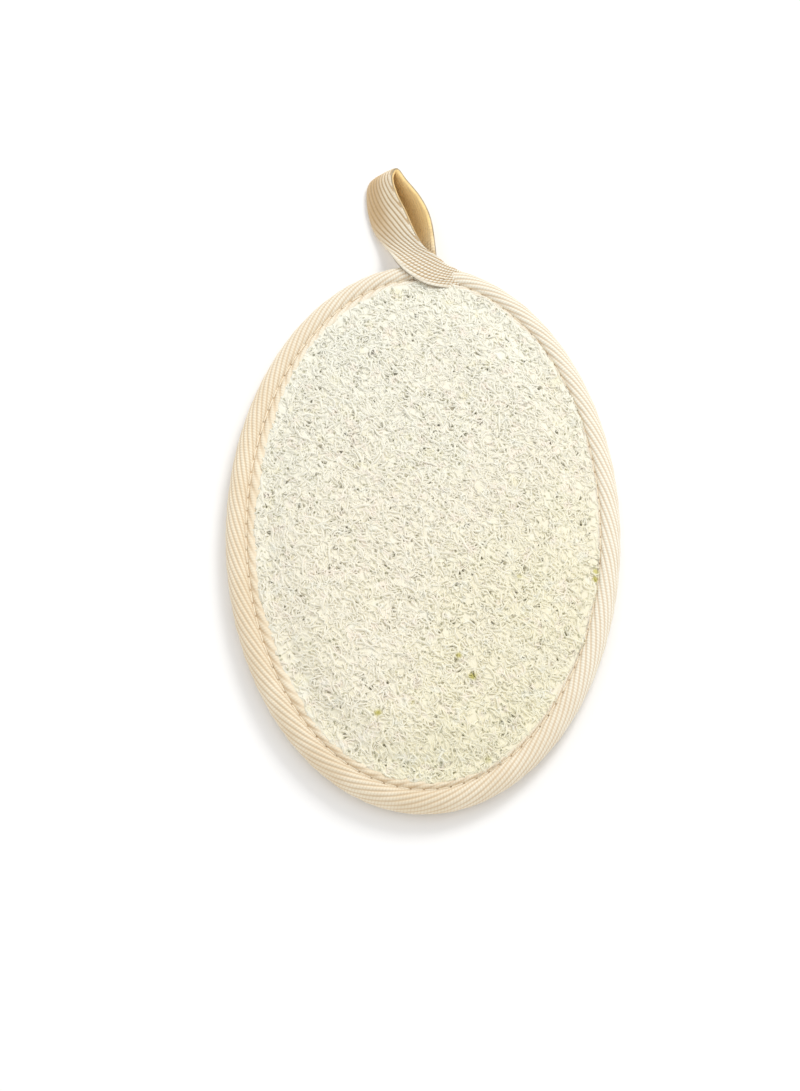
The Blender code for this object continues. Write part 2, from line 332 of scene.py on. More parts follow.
@dataclass(frozen=True)
class TwillFinish:
    """Undyed cotton twill, in the tape's own UV map: U along the tape and V across it, in metres.

    The ribs are in the mesh. The finish paints shade into the grooves, yarn gaps, seam crease and
    needle holes, paints light on the tape's right side, and paints shade on part of the loop's
    outside as tan and warm orange light on its inner face.
    """

    name: str
    rib_pitch: float
    slant: float
    seams: tuple[float, ...] = ()
    stitch_pitch: float = 0.0035
    smooth_edge: Pair = (0.0002, 0.0012)
    yarn_pitch: float = 0.00078
    # Painted light: the tape is paler towards its right side and far end, where the lamp falls, and
    # this fades out before the loop.
    lit_side_right: Pair = (-0.040, 0.045)
    lit_side_far: Pair = (0.084, 0.068)
    lit_side_share: float = 0.85
    # Painted shade: part of the loop's outside, turned away from the lamp, is darkened to tan.
    tan_shade_far: Pair = (0.071, 0.087)
    tan_shade_across: Pair = (0.0085, 0.0035)
    tan_shade_share: float = 0.95
    # Painted light: a warm glow on the loop's inner face, for light bounced round the loop and
    # shining through the cotton.
    inner_face: Pair = (0.05, 0.06)
    amber_glow_far: Pair = (0.066, 0.081)
    plain_far: Pair = (0.068, 0.080)
    # Painted shade: the widths of the darkened seam crease and needle holes.
    seam_shade_width: Pair = (0.00042, 0.00010)
    hole_shade_width: Pair = (0.00050, 0.00015)
    bump_depth: float = 0.00016
    light: Colour = (0.82, 0.71, 0.53)
    pale: Colour = (0.88, 0.79, 0.62)
    # Painted light for the tape's right side.
    lit_side: Colour = (0.87, 0.845, 0.74)
    # Painted shade in the grooves between ribs, the gaps between yarns and the seam's crease.
    groove_shade: Colour = (0.62, 0.44, 0.25)
    # Painted shade in the needle holes.
    hole: Colour = (0.22, 0.13, 0.06)
    # Painted shade on the loop's outside.
    tan: Colour = (0.60, 0.42, 0.22)
    # Painted warm light on the loop's inner face.
    amber_glow: Colour = (0.98, 0.72, 0.33)
    # How strongly painted shade darkens the grooves and the yarn gaps.
    groove_shade_share: float = 0.60
    dot_shade_share: float = 0.48

    def dress(self) -> Material:
        """Builds the material."""
        sheet = ShaderSheet(self.name)
        lie = sheet.node("ShaderNodeUVMap", {"uv_map": "weave"}, {}).outputs[0]
        along, across = sheet.split(lie)
        wobble = (sheet.grain(sheet.place(), 0.004, 2.0) - 0.5) * 0.22
        sine, cosine = math.sin(self.slant), math.cos(self.slant)
        rib = (along * sine + across * cosine) * (1 / self.rib_pitch) + wobble
        run = (along * cosine - across * sine) * (1 / self.yarn_pitch)
        between_ribs = 1.0 - rib.wave()
        dots = (run + rib * 0.5 + wobble).wave()
        fuzz = sheet.grain(sheet.place(), 0.0005, 4.0, 0.7)
        patches = sheet.grain(sheet.place(), 0.012, 2.0)
        right, far = sheet.split(sheet.place())
        colour = sheet.blended(patches.between(0.35, 0.7), self.light, self.pale)
        # Painted light: paler towards the right and the far end of the tape.
        lit_side_mask = (right + far * 0.5).between(*self.lit_side_right) * far.between(*self.lit_side_far)
        colour = sheet.blended(lit_side_mask * self.lit_side_share, colour, self.lit_side)
        # Painted shade: tan on part of the loop's outside.
        shaded = far.between(*self.tan_shade_far) * across.between(*self.tan_shade_across)
        colour = sheet.blended(shaded * self.tan_shade_share, colour, self.tan)
        # Painted light: the loop's inner face glows warm, and its painted shade in grooves and fuzz
        # is weaker there.
        inside = across.between(*self.inner_face) * far.between(*self.amber_glow_far)
        colour = sheet.blended(inside, colour, self.amber_glow)
        # Painted shade in the gaps between yarns and in the grooves between ribs.
        shaded_dots = dots.between(0.55, 1.0) * (1.0 - far.between(*self.plain_far) * 0.8)
        shaded_dots *= self.dot_shade_share
        shaded_hollow = (between_ribs.between(0.45, 1.0) + shaded_dots).maths("MINIMUM", 1.0)
        shaded_hollow *= 1.0 - inside * 0.8
        ribbed = across.between(*self.smooth_edge) * 0.65 + 0.35
        colour = sheet.blended(shaded_hollow * ribbed * self.groove_shade_share, colour, self.groove_shade)
        colour = sheet.blended(fuzz.between(0.55, 0.8) * 0.25 * (1.0 - inside), colour, self.pale)
        height = ((1.0 - between_ribs) * 0.5 + (1.0 - dots) * 0.4) * ribbed + fuzz * 0.25
        for seam in self.seams:
            near = (across - seam).maths("ABSOLUTE") + (fuzz - 0.5) * 0.0003
            needle = (along * (1 / self.stitch_pitch) + patches * 0.3).wave().between(0.45, 1.0)
            uneven = sheet.grain(sheet.place(), 0.007, 1.0).between(0.35, 0.65) * 0.8 + 0.2
            needle *= uneven
            # Painted shade in the seam's crease and its needle holes.
            colour = sheet.blended(near.between(*self.seam_shade_width) * 0.75, colour, self.groove_shade)
            holes = near.between(*self.hole_shade_width) * needle
            colour = sheet.blended(holes * 0.55, colour, self.hole)
        sheet.bumped(height, self.bump_depth)
        return sheet.finish(colour, fuzz * 0.15 + 0.78, 0.2, 0.25)


@dataclass(frozen=True)
class ThreadFinish:
    """Twisted sewing cotton, a little paler and smoother than the tape."""

    name: str
    light: Colour = (0.94, 0.86, 0.70)
    shade: Colour = (0.72, 0.58, 0.38)

    def dress(self) -> Material:
        """Builds the material."""
        sheet = ShaderSheet(self.name)
        plies = sheet.grain(sheet.place(), 0.0004, 2.0)
        colour = sheet.blended(plies.between(0.6, 0.3) * 0.5, self.light, self.shade)
        sheet.bumped(plies, 0.00008)
        return sheet.finish(colour, plies * 0.1 + 0.6, 0.3, 0.0)


@dataclass(frozen=True)
class FloorFinish:
    """A plain white studio floor with the faintest mottle."""

    name: str = "studio_white"
    white: Colour = (0.93, 0.93, 0.93)
    grey: Colour = (0.91, 0.91, 0.91)

    def dress(self) -> Material:
        """Builds the material."""
        sheet = ShaderSheet(self.name)
        mottle = sheet.grain(sheet.place(), 0.2, 2.0)
        return sheet.finish(sheet.blended(mottle, self.white, self.grey), 0.9, 0.0, 0.0)


@dataclass
class Oval:
    """The pad's oval outline and what is measured inwards from it."""

    width: float = 90 * MM
    length: float = 140 * MM
    middle: float = 3.25 * MM
    seam_inset: float = 4.7 * MM
    lip: float = 5.95 * MM
    lip_wander: float = 0.85 * MM
    lip_ripples: tuple[Ripple, ...] = ((0.20, 7, 0.6), (0.15, 19, 2.0), (0.11, 67, 0.0))
    samples: int = 1440
    angles: Points = field(init=False)
    arc: Points = field(init=False)

    def __post_init__(self) -> None:
        """Measures the outline once."""
        self.angles = np.linspace(0, math.tau, self.samples + 1)
        self.arc = distances(self.outline(self.angles))

    @property
    def perimeter(self) -> float:
        """The outline's length."""
        return float(self.arc[-1])

    def angle_at(self, distance: Points) -> Points:
        """The oval's angle at a distance along the outline, anticlockwise from +X."""
        return np.interp(np.mod(distance, self.perimeter), self.arc, self.angles)

    def outline(self, angle: Points) -> Points:
        """The flat points of the outline at the oval's angles."""
        x, y = self.width / 2 * np.cos(angle), self.length / 2 * np.sin(angle)
        return np.stack([x, y], axis=-1)

    def points(self, angle: Points, inset: Points, height: Points) -> Points:
        """Points set inwards, square to the outline, at a height."""
        outward = np.stack([self.length * np.cos(angle), self.width * np.sin(angle)], axis=-1)
        flat = self.outline(angle) - unit(outward) * np.expand_dims(inset, -1)
        return np.concatenate([flat, np.expand_dims(height, -1)], axis=-1)

    def lip_width(self, angle: Points) -> Points:
        """How far the lips reach inwards: widest on the left, as a hand-guided tape wanders."""
        return self.lip - self.lip_wander * np.cos(angle) + rippled(angle, self.lip_ripples)

    def depth(self, x: Points, y: Points) -> Points:
        """How far points lie inside the outline, near enough."""
        across, along = x / (self.width / 2), y / (self.length / 2)
        share = np.maximum(np.hypot(across, along), TINY)
        slope = np.hypot(across / (self.width / 2), along / (self.length / 2)) / share
        return (1 - share) / np.maximum(slope, TINY)

    def past_lip(self, x: Points, y: Points) -> Points:
        """How far points lie past the lip's edge, towards the middle."""
        return self.depth(x, y) - self.lip_width(np.arctan2(y / self.length, x / self.width))


def eased(value: Points) -> Points:
    """0 below 0, 1 above 1, and smooth between them."""
    held = np.clip(value, 0.0, 1.0)
    return held * held * (3 - 2 * held)


def unit(ways: Points) -> Points:
    """Directions with a length of 1."""
    return ways / np.linalg.norm(ways, axis=-1, keepdims=True)


def distances(route: Points) -> Points:
    """The distance run at each point of a route, from its first point."""
    steps = np.linalg.norm(np.diff(route, axis=0), axis=1)
    return np.concatenate([[0.0], np.cumsum(steps)])


def rippled(angle: Points, ripples: Sequence[Ripple]) -> Points:
    """Adds up ripples round the oval: each has a height in millimetres, a count and a start."""
    return sum(height * np.sin(count * angle + start) for height, count, start in ripples) * MM


def smooth_curve(knots: Sequence[Sequence[float]], share: Points) -> Points:
    """Points on a smooth curve through knots that are evenly spread over shares from 0 to 1.

    Args:
        knots: the points that the curve passes through.
        share: how far along each wanted point lies.

    Returns:
        One point for each share, in the last axis.
    """
    through = np.array(knots, dtype=float)
    ends = 2 * through[[0, -1]] - through[[1, -2]]
    held = np.concatenate([ends[:1], through, ends[1:]])
    place = np.clip(share, 0.0, 1.0) * (len(through) - 1)
    index = np.minimum(place.astype(int), len(through) - 2)
    part = np.expand_dims(place - index, -1)
    before, start, end, after = (held[index + k] for k in range(4))
    curve = 2 * start + (end - before) * part
    curve += (2 * before - 5 * start + 4 * end - after) * part**2
    curve += (3 * start - before - 3 * end + after) * part**3
    return curve / 2


def in_scene(name: str, data: bpy.types.ID) -> bpy.types.Object:
    """Adds an object to the scene."""
    made = bpy.data.objects.new(name, data)
    bpy.context.scene.collection.objects.link(made)
    return made


def add_piece(name: str, mesh: Mesh, finish: Material, node: str) -> None:
    """Puts a finished mesh in the scene as a piece of the pad.

    Args:
        name: the piece's name.
        mesh: its mesh, in place.
        finish: its material.
        node: the CAD node that it stands for.
    """
    mesh.materials.clear()
    mesh.materials.append(finish)
    mesh.shade_smooth()
    piece = in_scene(name, mesh)
    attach(piece, "root")
    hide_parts(node)
    LOG.info("%s: %d faces for %s", name, len(mesh.polygons), node)


def wrapped_grid(
    name: str, columns: int, rows: int, shape: GridWay, weave: tuple[GridWay, ...] = ()
) -> Mesh:
    """A grid bent into a closed skin.

    Args:
        name: the mesh's name.
        columns: faces along the grid.
        rows: faces across the grid.
        shape: gives the points for shares along and across.
        weave: if given, two functions for the pattern's own coordinates, U and V.

    Returns:
        The mesh, its seams merged, its ends filled and its faces pointing outwards.
    """
    bm = bmesh.new()
    bm.loops.layers.uv.new("weave")
    bmesh.ops.create_grid(bm, x_segments=columns, y_segments=rows, size=0.5, calc_uvs=True)
    mesh = bpy.data.meshes.new(name)
    bm.to_mesh(mesh)
    flat = np.empty(3 * len(mesh.vertices))
    mesh.vertices.foreach_get("co", flat)
    along, across = flat[0::3] + 0.5, flat[1::3] + 0.5
    if weave:
        lie = np.empty(2 * len(mesh.loops))
        corner = np.empty(len(mesh.loops), dtype=np.int32)
        mesh.loops.foreach_get("vertex_index", corner)
        lie[0::2] = weave[0](along, across)[corner]
        lie[1::2] = weave[1](along, across)[corner]
        mesh.uv_layers["weave"].data.foreach_set("uv", lie)
    mesh.vertices.foreach_set("co", shape(along, across).ravel())
    bm.clear()
    bm.from_mesh(mesh)
    bmesh.ops.remove_doubles(bm, verts=bm.verts, dist=TINY)
    open_edges = [edge for edge in bm.edges if edge.is_boundary]
    if open_edges:
        bmesh.ops.holes_fill(bm, edges=open_edges, sides=0)
    bmesh.ops.recalc_face_normals(bm, faces=bm.faces)
    bm.to_mesh(mesh)
    bm.free()
    return mesh


def strands_mesh(name: str, routes: Points, radii: Points, roundness: int = 0) -> Mesh:
    """Thin round strands, one for each route.

    Args:
        name: the mesh's name.
        routes: their points, as strand by point by xyz.
        radii: their radius at each point.
        roundness: 0 for four sides, and two sides more for each further step.

    Returns:
        One mesh that holds them all, closed at their ends.
    """
    curve = bpy.data.curves.new(name, "CURVE")
    curve.dimensions = "3D"
    curve.bevel_depth = 1.0
    curve.bevel_resolution = roundness
    curve.use_fill_caps = True
    padded = np.concatenate([routes, np.ones((*routes.shape[:2], 1))], axis=2)
    for route, radius in zip(padded, radii):
        strand = curve.splines.new("POLY")
        strand.points.add(len(route) - 1)
        strand.points.foreach_set("co", route.ravel())
        strand.points.foreach_set("radius", radius)
    guide = in_scene(name, curve)
    ready = guide.evaluated_get(bpy.context.evaluated_depsgraph_get())
    mesh = bpy.data.meshes.new_from_object(ready)
    bpy.data.objects.remove(guide)
    bpy.data.curves.remove(curve)
    mesh.name = name
    return mesh


@dataclass(frozen=True)
class FibreLayer:
    """One kind of loofah fibre on one face of the pad, measured in millimetres.

    It lies lift above the mat, rises and falls by sway, and curls by about bend radians. The
    share called slanted follows the slant of the net.
    """

    name: str
    face: Face
    count: int
    lengths: Pair
    radius: float
    lift: float
    sway: float
    bend: float
    seed: int
    points: int
    slanted: float = 0.62


@dataclass
class LoofahPad:
    """The pressed slice of loofah: a felted body with loose-woven fibres over both faces."""

    oval: Oval
    top: float = 8.35 * MM
    edge_rise: float = 0.5 * MM
    lip_rise: float = 1.2 * MM
    edge_inset: float = 2.3 * MM
    shoulder: float = 13 * MM
    under_shoulder: float = 6 * MM
    under_fibres: float = 0.24 * MM
    slant: float = math.radians(-58)
    pits: int = 620
    pit_seed: int = 5
    pit_reach: float = 0.50 * MM
    pit_depth: float = 1.6 * MM
    pit_margin: float = 7 * MM
    lumps: float = 0.14 * MM
    hollow_size: float = 2.2 * MM
    hollow_stretch: float = 2.2
    hollow_depth: float = 0.14 * MM
    felt_depth: float = 0.06 * MM
    end_dip: float = 2.2 * MM
    under_lip: float = 0.9 * MM
    above_top: float = 0.2 * MM
    body_columns: int = 112
    body_rows: int = 165
    layers: tuple[FibreLayer, ...] = (
        FibreLayer("front_veins", Face.FRONT, 850, (6.0, 11.0), 0.33, -0.15, 0.22, 1.5, 11, 9),
        FibreLayer("front_fibres_low", Face.FRONT, 3400, (3.0, 7.0), 0.29, -0.05, 0.18, 1.9, 12, 6),
        FibreLayer("front_fibres_mid", Face.FRONT, 3900, (2.2, 5.0), 0.26, 0.04, 0.14, 2.3, 13, 6),
        FibreLayer("front_fibres_top", Face.FRONT, 4400, (1.4, 3.4), 0.22, 0.10, 0.12, 2.6, 14, 5),
        FibreLayer("back_fibres_low", Face.BACK, 2300, (4.0, 8.0), 0.29, -0.16, 0.18, 1.5, 15, 6),
        FibreLayer("back_fibres_top", Face.BACK, 2300, (3.0, 6.0), 0.24, -0.10, 0.14, 1.9, 16, 6),
    )
    reaches: Points = field(init=False)
    pit_tree: KDTree = field(init=False)

    def __post_init__(self) -> None:
        """Sets out the small pits in the net, with a reach for each."""
        draw = np.random.default_rng(self.pit_seed)
        turn, out = draw.uniform(0, math.tau, self.pits), np.sqrt(draw.uniform(0, 1, self.pits))
        self.reaches = self.pit_reach * draw.uniform(0.45, 1.3, self.pits)
        self.pit_tree = KDTree(self.pits)
        for index, (bearing, share) in enumerate(zip(turn, out)):
            x = share * math.cos(bearing) * (self.oval.width / 2 - self.pit_margin)
            y = share * math.sin(bearing) * (self.oval.length / 2 - self.pit_margin)
            self.pit_tree.insert((x, y, 0.0), index)
        self.pit_tree.balance()

    def opened(self, x: Points, y: Points) -> tuple[Points, Points, Points]:
        """Pushes points out of the pits.

        Args:
            x: their places across the pad.
            y: their places along the pad.

        Returns:
            Their new places, and how deep in a pit each one lay, from 0 to 1.
        """
        new_x, new_y, depths = x.copy().ravel(), y.copy().ravel(), np.zeros(x.size)
        for spot, (at_x, at_y) in enumerate(zip(x.ravel().tolist(), y.ravel().tolist())):
            pit, index, away = self.pit_tree.find((at_x, at_y, 0.0))
            reach = self.reaches[index]
            if away < reach:
                spread = reach / max(away, TINY)
                new_x[spot] = pit.x + (at_x - pit.x) * spread
                new_y[spot] = pit.y + (at_y - pit.y) * spread
                depths[spot] = 1 - away / reach
        return new_x.reshape(x.shape), new_y.reshape(x.shape), depths.reshape(x.shape)

    def height(self, x: Points, y: Points, face: Face) -> Points:
        """The height of the mat at points, much as in the CAD solid."""
        past = self.oval.past_lip(x, y)
        pressed = self.oval.middle + face.value * self.lip_rise
        if face is Face.FRONT:
            lumps = self.lumps * np.sin(x * 310 + 1.0) * np.sin(y * 250 + 0.4)
            swell = np.sqrt(eased(past / self.shoulder))
            at_lip = 0.42 * eased(past / (0.6 * MM) + 1.1)
            return pressed + (self.top - pressed) * np.maximum(swell, at_lip) + lumps * swell
        return pressed * (1 - eased(past / self.under_shoulder)) + 0.1 * MM

    def body_shape(self, along: Points, across: Points) -> Points:
        """The felted body under the fibres: two domed faces that meet at the pressed rim."""
        front = along < 0.5
        side = np.where(front, along * 4 - 1, 3 - along * 4)
        up = across * 2 - 1
        x_share, y_share = side * np.sqrt(1 - up**2 / 2), up * np.sqrt(1 - side**2 / 2)
        reach_x = self.oval.width / 2 - self.edge_inset
        reach_y = self.oval.length / 2 - self.edge_inset
        x, y = x_share * reach_x, y_share * reach_y
        rim = eased((1 - np.hypot(x_share, y_share)) * reach_x / (2 * MM))
        heights = np.where(front, self.height(x, y, Face.FRONT), self.height(x, y, Face.BACK))
        sign = np.where(front, 1.0, -1.0)
        off_rim = np.abs(1 - np.hypot(x_share, y_share)) > TINY
        edge = self.oval.middle + sign * self.edge_rise * off_rim
        clear_of_lip = eased(self.oval.past_lip(x, y) / (3 * MM))
        sunk = (self.sink(x, y) + np.where(front, 0.0, self.under_fibres)) * clear_of_lip
        z = edge + (heights - edge) * rim - sign * sunk
        return np.stack([x, y, z], axis=-1)

    def sink(self, x: Points, y: Points) -> Points:
        """How far the felted body lies below the mat, with its slanting hollows and its pits."""
        sine, cosine = math.sin(self.slant), math.cos(self.slant)
        ahead = (x * cosine + y * sine) / self.hollow_size
        aside = (y * cosine - x * sine) * self.hollow_stretch / self.hollow_size
        hollows = np.array([noise.noise(Vector((u, v, 0.0))) for u, v in zip(ahead, aside)])
        pits = np.sqrt(self.opened(x, y)[2])
        return self.felt_depth + self.hollow_depth * hollows + self.pit_depth * pits

    def routes(self, layer: FibreLayer) -> tuple[Points, Points]:
        """Draws the routes of one layer's fibres.

        Args:
            layer: the kind of fibre.

        Returns:
            The points of each fibre, and its radius at each.
        """
        draw = np.random.default_rng(layer.seed)
        spare = int(layer.count * 1.5)
        turn = draw.uniform(0, math.tau, spare)
        out = np.sqrt(draw.uniform(0, 1, spare))
        x = out * np.cos(turn) * (self.oval.width / 2 - self.oval.seam_inset)
        y = out * np.sin(turn) * (self.oval.length / 2 - self.oval.seam_inset)
        slanted = draw.uniform(0, 1, spare) < layer.slanted
        along_net, free = draw.normal(0, 0.5, spare), draw.uniform(0, math.pi, spare)
        heading = np.where(slanted, self.slant + along_net, free)
        shortest, longest = layer.lengths
        length = draw.uniform(shortest * MM, longest * MM, spare)
        share = np.linspace(-0.5, 0.5, layer.points)[None, :]
        curl = draw.normal(0, layer.bend, spare)[:, None] * share
        wriggle = draw.normal(0, 0.35 * layer.bend, spare)[:, None]
        headings = heading[:, None] + curl + wriggle * np.sin(share * 9 + turn[:, None])
        step = length[:, None] / (layer.points - 1)
        xs = x[:, None] + np.cumsum(np.cos(headings) * step, axis=1)
        ys = y[:, None] + np.cumsum(np.sin(headings) * step, axis=1)
        xs -= xs.mean(axis=1, keepdims=True) - x[:, None]
        ys -= ys.mean(axis=1, keepdims=True) - y[:, None]
        clear = self.oval.past_lip(xs, ys).min(axis=1) > -self.under_lip
        kept = np.nonzero(clear)[0][: layer.count]
        xs, ys, _ = self.opened(xs[kept], ys[kept])
        waves = draw.uniform(0.6, 1.6, len(kept))[:, None]
        phase = draw.uniform(0, math.tau, len(kept))[:, None]
        swing = draw.normal(0, 0.5, len(kept))[:, None] + np.sin(share * math.tau * waves + phase)
        rise = layer.lift * MM + layer.sway * MM * swing - self.end_dip * 4 * share**4
        under_tape = eased(self.oval.past_lip(xs, ys) / (1.5 * MM) + 0.4)
        zs = self.height(xs, ys, layer.face) + layer.face.value * rise * under_tape
        low = layer.radius * MM * 1.05
        zs = np.clip(zs, low, CAD_BOX[1][2] + self.above_top - low)
        thickness = layer.radius * MM * draw.uniform(0.75, 1.2, len(kept))[:, None]
        return np.stack([xs, ys, zs], axis=-1), thickness * (1 - 0.55 * (2 * share) ** 4)

    def build(self) -> None:
        """Makes the body and the fibres."""
        # The felt's finish is a little darker than the fibres': painted shade for the body that
        # lies under the fibres.
        felt = LoofahFinish(
            "loofah_felt", cream=(0.88, 0.84, 0.70), straw=(0.87, 0.82, 0.61), depth_shade=0.26
        ).dress()
        fibre = LoofahFinish("loofah_fibre").dress()
        body = wrapped_grid("loofah_felt", 2 * self.body_columns, self.body_rows, self.body_shape)
        add_piece("loofah_felt", body, felt, "loofah_pad")
        for layer in self.layers:
            mesh = strands_mesh(layer.name, *self.routes(layer))
            add_piece(layer.name, mesh, fibre, "loofah_pad")


@dataclass(frozen=True)
class Twill:
    """The raised ribs of the tape: they slant across it, and each one is a row of yarn floats."""

    rib_pitch: float = 1.128 * MM
    slant: float = math.radians(16.5)
    relief: float = 0.22 * MM
    yarn_pitch: float = 0.78 * MM

    def raised(self, along: Points, across: Points) -> Points:
        """The ribs' height over the tape, for distances along and across it."""
        phase = (along * math.sin(self.slant) + across * math.cos(self.slant)) / self.rib_pitch
        run = (along * math.cos(self.slant) - across * math.sin(self.slant)) / self.yarn_pitch
        rib = np.abs(np.cos(math.pi * phase)) ** 0.8
        floats = 0.86 + 0.14 * np.cos(math.tau * (run + 0.5 * phase))
        return self.relief * (rib * floats - 0.6)


@dataclass
class BindingTape:
    """The tape folded over the rim: a lip on each face, a crease at the seam, a puffed rim between.

    The half section gives inset and rise in millimetres, from the front lip's edge to the rim.
    """

    oval: Oval
    twill: Twill
    thickness: float = 0.85 * MM
    ribs: int = 92
    stations_to_rib: int = 11
    outer_rows: int = 44
    inner_rows: int = 6
    stitches: int = 104
    hole_depth: float = 0.16 * MM
    crease_width: float = 0.55 * MM
    lip_flutter: tuple[Ripple, ...] = ((0.10, 23, 1.3), (0.08, 47, 0.0))
    flutter_from: float = 5.2 * MM
    half: tuple[Pair, ...] = (
        (6.20, 2.70), (5.75, 2.88), (5.15, 2.72), (4.70, 2.02), (4.25, 2.70),
        (3.60, 3.02), (2.90, 3.12), (1.70, 2.75), (0.60, 1.75),
    )

    @property
    def stations(self) -> int:
        """Faces along the tape."""
        return self.ribs * self.stations_to_rib

    @property
    def rows(self) -> int:
        """Faces once round the tape's section, with one over each of its edges."""
        return self.outer_rows + self.inner_rows + 2

    def section(self, across: Points) -> tuple[Points, Points, Points, Points]:
        """The tape's section, once round it.

        Args:
            across: shares from 0 at the front lip's edge round the outside and back inside.

        Returns:
            Inset, rise, distance across the tape, and how much the ribs stand out there.
        """
        mirrored = ((inset, -rise) for inset, rise in reversed(self.half))
        outside = np.array((*self.half, (0.0, 0.0), *mirrored)) * MM
        row = across * self.rows
        within = (row > self.outer_rows + 0.5) & (row < self.rows - 0.5)
        out_share = np.where(row < self.rows - 0.5, np.clip(row / self.outer_rows, 0, 1), 0.0)
        back_share = np.clip((self.rows - 1 - row) / self.inner_rows, 0, 1)
        fine = smooth_curve(outside, np.linspace(0, 1, 600))
        developed = distances(fine)
        share = np.where(within, back_share, out_share)
        width = share * developed[-1]
        inset, rise = (np.interp(width, developed, fine[:, k]) for k in (0, 1))
        inner_inset = np.maximum(inset, self.thickness)
        inner_rise = rise - np.sign(rise) * np.minimum(self.thickness, np.abs(rise))
        off_edges = 0.35 + 0.65 * eased(np.minimum(share, 1 - share) * developed[-1] / (0.5 * MM))
        off_front_lip = 0.75 + 0.25 * eased((width / MM - 1.2) / 1.2)
        relief = np.where(within, 0.0, off_edges * off_front_lip)
        inset, rise = np.where(within, (inner_inset, inner_rise), (inset, rise))
        return inset, rise, width, relief

    def seam_lines(self) -> tuple[float, float]:
        """The distances across the tape of its two seams."""
        across = np.linspace(0, self.outer_rows / self.rows, 2000)
        inset, _, width, _ = self.section(across)
        front = float(width[np.argmin(np.abs(inset[:700] - self.oval.seam_inset))])
        return front, float(width[-1]) - front

    def along_tape(self, along: Points, across: Points) -> Points:
        """The distance along the tape of each grid point: the grid slants with the ribs."""
        width = self.section(across)[2]
        return along * self.oval.perimeter - width / math.tan(self.twill.slant)

    def across_tape(self, along: Points, across: Points) -> Points:
        """The distance across the tape of each grid point."""
        return self.section(across)[2] + 0 * along

    def shape(self, along: Points, across: Points) -> Points:
        """Where each grid point of the tape lies."""
        inset, rise, width, relief = self.section(across)
        distance = self.along_tape(along, across)
        angle = self.oval.angle_at(distance)
        seam = self.oval.seam_inset
        lip = (self.oval.lip_width(angle) - seam) / (self.oval.lip - seam)
        inset = np.where(inset > seam, seam + (inset - seam) * lip, inset)
        hole = np.cos(math.tau * distance / (self.oval.perimeter / self.stitches))
        near_seam = np.exp(-((inset - seam) / self.crease_width) ** 2)
        rise = rise - np.sign(rise) * self.hole_depth * near_seam * (hole + 0.6)
        flutter = rippled(angle, self.lip_flutter) * eased((inset - self.flutter_from) / (1 * MM))
        rise = rise + np.sign(rise) * flutter
        raised = self.rib_height(along, width) * relief * (1 - 0.6 * near_seam)
        out_inset, out_rise = self.outward(inset, rise)
        inset = inset - raised * out_inset
        rise = np.clip(rise + raised * out_rise, -self.oval.middle + 0.02 * MM, None)
        return self.oval.points(angle, inset, self.oval.middle + rise)

    def rib_height(self, along: Points, width: Points) -> Points:
        """The ribs' height, crest on every whole rib along the slanted grid."""
        rib = np.abs(np.cos(math.pi * along * self.ribs)) ** 0.8
        run = width / math.sin(self.twill.slant) / self.twill.yarn_pitch
        floats = 0.84 + 0.16 * np.cos(math.tau * (run + 0.5 * np.round(along * self.ribs)))
        return self.twill.relief * (rib * floats - 0.6)

    def outward(self, inset: Points, rise: Points) -> tuple[Points, Points]:
        """The direction out of the folded rim, as shares of inset and rise."""
        round_fold = eased((2.6 * MM - inset) / (2.6 * MM))
        tilt = round_fold * np.clip(1 - np.abs(rise) / (3.2 * MM), 0, 1) ** 0.5
        out = np.sin(tilt * math.pi / 2)
        return out, np.sign(rise) * np.sqrt(1 - out**2)

    def build(self, finish: Material) -> None:
        """Makes the tape."""
        weave = (self.along_tape, self.across_tape)
        mesh = wrapped_grid("binding_tape_twill", self.stations, self.rows, self.shape, weave)
        add_piece("binding_tape_twill", mesh, finish, "binding_tape")


@dataclass
class Seam:
    """The lockstitch in the crease of the tape, one thread on each face."""

    oval: Oval
    stitches: int = 104
    radius: float = 0.17 * MM
    bow: float = 0.20 * MM
    dip: float = 0.16 * MM
    points: int = 7
    tail: Pair = (-2.2 * MM, 6.5 * MM)
    tail_lift: float = 1.75 * MM

    def routes(self, face: Face) -> Points:
        """The stitches of one face: each dips into the needle hole at both its ends."""
        pitch = self.oval.perimeter / self.stitches
        share = np.linspace(-0.42, 0.42, self.points)[None, :]
        middles = (np.arange(self.stitches)[:, None] + 0.5) * pitch
        angle = self.oval.angle_at(middles + share * pitch)
        bow = self.bow * np.cos(share * math.pi) - self.dip
        rise = 2.02 * MM + self.radius * 0.6 + bow + 0 * angle
        inset = self.oval.seam_inset + 0.05 * MM * np.sin(middles * 900) + 0 * angle
        spots = self.oval.points(angle, inset, self.oval.middle + face.value * rise)
        if face is Face.FRONT:
            x, y, _ = np.moveaxis(spots[:, self.points // 2, None, :], -1, 0)
            over_tail = (x > self.tail[0]) & (x < self.tail[1]) & (y > 0)
            spots[..., 2] += self.tail_lift * over_tail
        return spots

    def build(self, finish: Material) -> None:
        """Makes both threads."""
        for face, name in ((Face.FRONT, "needle_thread"), (Face.BACK, "bobbin_thread")):
            routes = self.routes(face)
            radii = np.full(routes.shape[:2], self.radius)
            mesh = strands_mesh(name + "_stitches", routes, radii, roundness=1)
            add_piece(name + "_stitches", mesh, finish, name)


